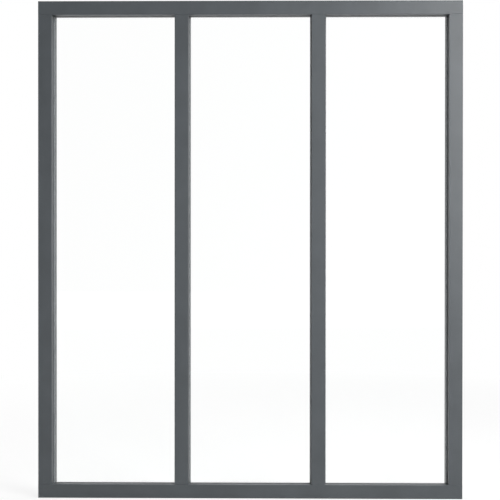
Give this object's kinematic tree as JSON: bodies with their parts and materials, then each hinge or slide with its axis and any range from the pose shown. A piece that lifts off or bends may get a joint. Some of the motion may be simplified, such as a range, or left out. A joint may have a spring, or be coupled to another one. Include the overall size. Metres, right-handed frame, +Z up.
{
  "type": "interior glass partition",
  "caption": "Fixed interior glass partition: tall clear panes in a slim dark grey hollow aluminium frame, held by rubber gaskets and clip-in glazing beads.",
  "frame": {"origin": "on the underside of the bottom rail, at the middle of its length and of its depth", "axes": "+Z up, +X to the right seen from the front, +Y from the front face to the bead side"},
  "size_m": [0.93, 0.04, 1.09],
  "materials": {
    "frame_profile": "satin",
    "glazing_bead": "satin",
    "clear_glass": "gloss",
    "gasket_rubber": "matte",
    "seal_rubber": "matte",
    "setting_block": "matte"
  },
  "bodies": {
    "root": {"top_rail": "frame_profile", "bottom_rail": "frame_profile", "left_stile": "frame_profile", "right_stile": "frame_profile", "left_mullion": "frame_profile", "right_mullion": "frame_profile", "left_bay_top_bead": "glazing_bead", "left_bay_bottom_bead": "glazing_bead", "left_bay_left_bead": "glazing_bead", "left_bay_right_bead": "glazing_bead", "centre_bay_top_bead": "glazing_bead", "centre_bay_bottom_bead": "glazing_bead", "centre_bay_left_bead": "glazing_bead", "centre_bay_right_bead": "glazing_bead", "right_bay_top_bead": "glazing_bead", "right_bay_bottom_bead": "glazing_bead", "right_bay_left_bead": "glazing_bead", "right_bay_right_bead": "glazing_bead", "left_pane": "clear_glass", "centre_pane": "clear_glass", "right_pane": "clear_glass", "left_front_gasket": "gasket_rubber", "centre_front_gasket": "gasket_rubber", "right_front_gasket": "gasket_rubber", "left_rear_gasket": "seal_rubber", "centre_rear_gasket": "seal_rubber", "right_rear_gasket": "seal_rubber", "left_setting_blocks": "setting_block", "centre_setting_blocks": "setting_block", "right_setting_blocks": "setting_block"}
  },
  "joints": []
}
